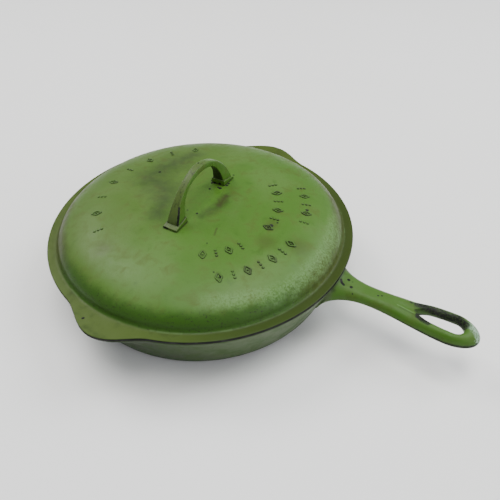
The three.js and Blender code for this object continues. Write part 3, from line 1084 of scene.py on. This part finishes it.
def cover_material():
    graph = Graph("worn_green_paint_cover")
    colour, patchy, fine = painted_base(graph)
    smoky = graph.noise(9.0, 4.0, 0.6, warp=0.8)
    flat = graph.vector("MULTIPLY", graph.place, (1.0, 1, 0))
    radius = graph.vector("LENGTH", flat)
    outward = graph.vector("NORMALIZE", flat)
    colour = cover_handling(graph, colour, patchy, fine, smoky)
    colour, flange = cover_rim(graph, colour, patchy, smoky, radius, outward)
    rubbed = cover_rubbed_and_highlight(graph, patchy, radius, outward)
    # Worn paint and painted highlight: the pale marks lighten the colour here
    colour = graph.tint(colour, SCUFF_AND_HIGHLIGHT, rubbed, 0.72)
    colour, foot_edge_wear_and_highlight = strap_wear_and_light(graph, colour, fine)
    # Partly dirt, partly painted shade: colour darkens where the AO node finds the surface closed
    # in, round the feet and ornament
    corner = graph.step(graph.crevices(1.8), 0.60, 0.93, 1, 0)
    colour = graph.tint(colour, GRIME_AND_SHADE, graph.times(corner, graph.step(fine, 0.25, 0.50)), 0.9)
    chips = cover_chips(graph, fine, smoky)
    worn_edge = graph.times(graph.edges(0.9), graph.step(patchy, 0.50, 0.62))
    worn_edge = graph.times(worn_edge, graph.without(foot_edge_wear_and_highlight), 0.6)
    # Bare dark iron that also stands in as painted shadow in the gap under the flange
    bare_rim_and_gap_shadow = graph.step(graph.plus(graph.attribute("edge"), fine, 0.5), 0.62, 0.80)
    bare = graph.most([chips, worn_edge, bare_rim_and_gap_shadow, unpainted_share(graph, fine)])
    colour = graph.mix(bare, colour, bare_iron(graph, patchy))
    rough = graph.step(patchy, 0.25, 0.80, 0.36, 0.52)
    rough = graph.blend(bare, graph.blend(rubbed, rough, 0.5), 0.62)
    matt = graph.most([bare, graph.times(flange, 0.6)])
    normal = casting_bump(graph, 0.35, (chips, 0.6))
    return graph.finish(colour, rough, normal, graph.blend(matt, 0.22, 0.08))


def ornament_material():
    graph = Graph("worn_green_paint_ornament")
    colour, patchy, _ = painted_base(graph)
    # Painted shade: the ridges' sloping sides are darkened the more they face away from up
    colour = graph.mix(graph.step(graph.facing_z, 0.90, 0.60, 0, 0.85), colour, GRIME_AND_SHADE)
    colour = graph.mix(graph.step(patchy, 0.48, 0.62, 0.10, 0.65), colour, GRIME_AND_SHADE)
    rough = graph.step(patchy, 0.25, 0.80, 0.38, 0.55)
    normal = graph.bump(graph.noise(1.6, 4.0, 0.6), 0.12, 0.35)
    return graph.finish(colour, rough, normal, 0.22)


def wall_colour(graph, colour, patchy):
    """The pan's wall is a greyer green than its handle, with painted shade towards -X and painted
    light towards +X.
    """
    on_handle = graph.step(graph.x, 146.0, 152.0)
    # Painted shade and light: the wall is darkest towards -X and lightest towards +X
    wall_grey_and_shade = graph.mix(graph.step(graph.x, 30.0, 120.0), WALL_SHADE, WALL_GREY_LIT)
    wall_grey_and_shade = graph.mix(graph.step(patchy, 0.40, 0.70, 0, 0.6), wall_grey_and_shade, GREEN_DEEP)
    colour = graph.mix(graph.step(on_handle, 0, 1.0, 0.9, 0), colour, wall_grey_and_shade)
    return graph.tint(colour, GREEN_DEEP, on_handle, 0.35), on_handle


def handle_marks(graph, colour, fine, smear, speckle):
    """The pale tip, scratches before the hole and dirty patches at the root."""
    tip_stops = [(265, 6, 46), (271.5, 0.5, 45), (273, -3, 42)]
    tip = graph.streak(tip_stops, 4.0, 2.2, smear, 6.0)
    ridge = graph.streak([(203.5, -2.5, 48), (221.5, -4.5, 47)], 0.6, 0.5, fine, 0.8)
    groove = graph.streak([(206, -4, 48), (221, -6, 47)], 0.5, 0.5, fine, 0.8)
    blotches = graph.most(
        [
            graph.near((150.5, 15.5, 52), 3.0, 2.5, smear, 8.0),
            graph.near((149, 22, 52), 2.5, 2.5, smear, 7.0),
            graph.near((150, -16, 51), 2.0, 2.0, smear, 7.0),
        ]
    )
    colour = graph.tint(colour, PALE_TIP, graph.times(tip, graph.step(speckle, 0.40, 0.54)), 0.8)
    colour = graph.tint(colour, SCUFF_AND_HIGHLIGHT, ridge, 0.6)
    colour = graph.tint(colour, GRIME_AND_SHADE, groove, 0.6)
    return graph.tint(colour, GRIME_AND_SHADE, blotches, 0.7)


def hole_wear(graph, smear, speckle):
    """Bare iron round the hanging hole, where a nail has rubbed."""
    far_stops = [(219, 6.5, 47), (229, 8, 46), (242, 9, 45), (254, 8.5, 45), (261, 5.5, 44.5)]
    far_arm = graph.streak(far_stops, 4.0, 1.4, smear, 5.0)
    near_arm = graph.streak([(222.5, -5.5, 47.5), (231.5, -8.5, 47.5)], 2.9, 0.9, smear, 3.0)
    shaft = graph.near((213.5, 6.5, 48), 1.8, 0.8, smear, 3.0)
    rubbed = graph.most([far_arm, near_arm, shaft])
    return graph.times(rubbed, graph.step(speckle, 0.38, 0.52, 0.62, 1.0))


def skillet_chips(graph, fine):
    chips = [graph.near(place, size, 0.35, fine, 1.8) for *place, size in SKILLET_CHIPS]
    hook = [(150.5, -2, 52), (152.5, -5, 52), (155, -6, 52)]
    chips.append(graph.streak(hook, 1.2, 0.3, fine, 1.2))
    return graph.most([*chips, graph.pits(17.0, 0.05)])


def skillet_material():
    graph = Graph("worn_green_paint_skillet")
    colour, patchy, fine = painted_base(graph)
    smear = graph.noise(6.0, 4.0, 0.65, (0.35, 1.0, 1.0), 0.5)
    speckle = graph.noise(1.5, 4.0, 0.75)
    colour, on_handle = wall_colour(graph, colour, patchy)
    colour = handle_marks(graph, colour, fine, smear, speckle)
    # Painted shade: colour darkens where the AO node finds the surface closed in, as where the
    # handle meets the wall
    corner = graph.step(graph.crevices(4.0), 0.5, 0.95, 1, 0)
    colour = graph.tint(colour, GRIME_AND_SHADE, corner, 0.5)
    # The handle's lower edge, below a ragged line, is drawn as bare dark iron.
    low = graph.step(graph.plus(graph.z, speckle, 3.0), 43.2, 42.0)
    low_edge = graph.times(on_handle, low, graph.step(smear, 0.36, 0.50), 0.85)
    worn = hole_wear(graph, smear, speckle)
    chips = skillet_chips(graph, fine)
    bare = graph.most([worn, chips, low_edge, unpainted_share(graph, fine)])
    colour = graph.mix(bare, colour, bare_iron(graph, smear))
    rough = graph.blend(bare, graph.step(patchy, 0.25, 0.80, 0.36, 0.52), 0.58)
    normal = casting_bump(graph, 0.30, (bare, 0.5))
    return graph.finish(colour, rough, normal, graph.blend(bare, 0.17, 0.08))


def floor_material():
    graph = Graph("pale_floor")
    soft = graph.noise(900.0, 2.0)
    colour = graph.mix(graph.step(soft, 0.3, 0.7), (0.84, 0.835, 0.82), (0.86, 0.86, 0.86))
    normal = graph.bump(graph.noise(1.0, 3.0), 0.02, 0.1)
    return graph.finish(colour, 0.75, normal, 0.2)


# -------- scene


def add_camera():
    azimuth, elevation = math.radians(CAMERA_AZIMUTH), math.radians(CAMERA_ELEVATION)
    level = math.cos(elevation)
    across, along = math.sin(azimuth) * level, -math.cos(azimuth) * level
    back = Vector((across, along, math.sin(elevation)))
    forward = -back
    right = forward.cross(Vector((0, 0, 1))).normalized()
    up = right.cross(forward)
    for degrees, number in ((CAMERA_PAN, 1), (CAMERA_TILT, 0), (CAMERA_ROLL, 2)):
        turn = Matrix.Rotation(math.radians(degrees), 3, (right, up, forward)[number])
        right, up, forward = turn @ right, turn @ up, turn @ forward
    data = bpy.data.cameras.new("camera")
    data.lens = 36.0
    data.sensor_width = 36.0
    data.clip_start = 0.01
    camera = bpy.data.objects.new("camera", data)
    facing = Matrix((right, up, -forward)).transposed().to_4x4()
    camera.matrix_world = Matrix.Translation(back * CAMERA_DISTANCE) @ facing
    bpy.context.scene.collection.objects.link(camera)
    bpy.context.scene.camera = camera


def add_floor():
    half = 6.0
    corners = [(-half, -half, 0), (half, -half, 0), (half, half, 0), (-half, half, 0)]
    mesh = bpy.data.meshes.new("floor")
    mesh.from_pydata(corners, [], [(0, 1, 2, 3)])
    floor = bpy.data.objects.new("floor", mesh)
    bpy.context.scene.collection.objects.link(floor)
    mesh.materials.append(floor_material())
    return floor


def add_area_light(name, place, target, size, power, colour):
    data = bpy.data.lights.new(name, "AREA")
    data.shape = "RECTANGLE"
    data.size, data.size_y = size
    data.energy = power
    data.color = colour
    light = bpy.data.objects.new(name, data)
    light.location = place
    aim = Vector(target) - Vector(place)
    light.rotation_mode = "QUATERNION"
    light.rotation_quaternion = aim.to_track_quat("-Z", "Y")
    bpy.context.scene.collection.objects.link(light)
    return light


def add_world():
    """A pale sky that is a little brighter on the far side."""
    world = bpy.data.worlds.new("world")
    world.use_nodes = True
    nodes, links = world.node_tree.nodes, world.node_tree.links
    background = nodes["Background"]
    background.inputs["Color"].default_value = (0.88, 0.9, 0.92, 1.0)
    coordinates = nodes.new("ShaderNodeTexCoord")
    behind = nodes.new("ShaderNodeVectorMath")
    behind.operation = "DOT_PRODUCT"
    behind.inputs[1].default_value = (-0.3, 0.95, 0.0)
    fade = nodes.new("ShaderNodeMapRange")
    for name, value in {"From Min": -0.6, "From Max": 0.8, "To Min": 0.42, "To Max": 0.6}.items():
        fade.inputs[name].default_value = value
    links.new(coordinates.outputs["Generated"], behind.inputs[0])
    links.new(behind.outputs["Value"], fade.inputs["Value"])
    links.new(fade.outputs[0], background.inputs["Strength"])
    bpy.context.scene.world = world


def add_studio():
    lights = [add_area_light(*light) for light in LIGHTS]
    add_world()
    add_floor()


def dress(obj, material):
    obj.data.materials.clear()
    obj.data.materials.append(material)


skillet = skillet_object()
dress(skillet, skillet_material())
cover = cover_object()
dress(cover, cover_material())
ornament = ornament_object()
shade(ornament, 50)
dress(ornament, ornament_material())

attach(skillet, "skillet")
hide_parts("pan_bowl", "pan_handle")
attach(cover, "cover")
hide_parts("cover_dome", "cover_handle")
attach(ornament, "cover")

add_studio()
add_camera()
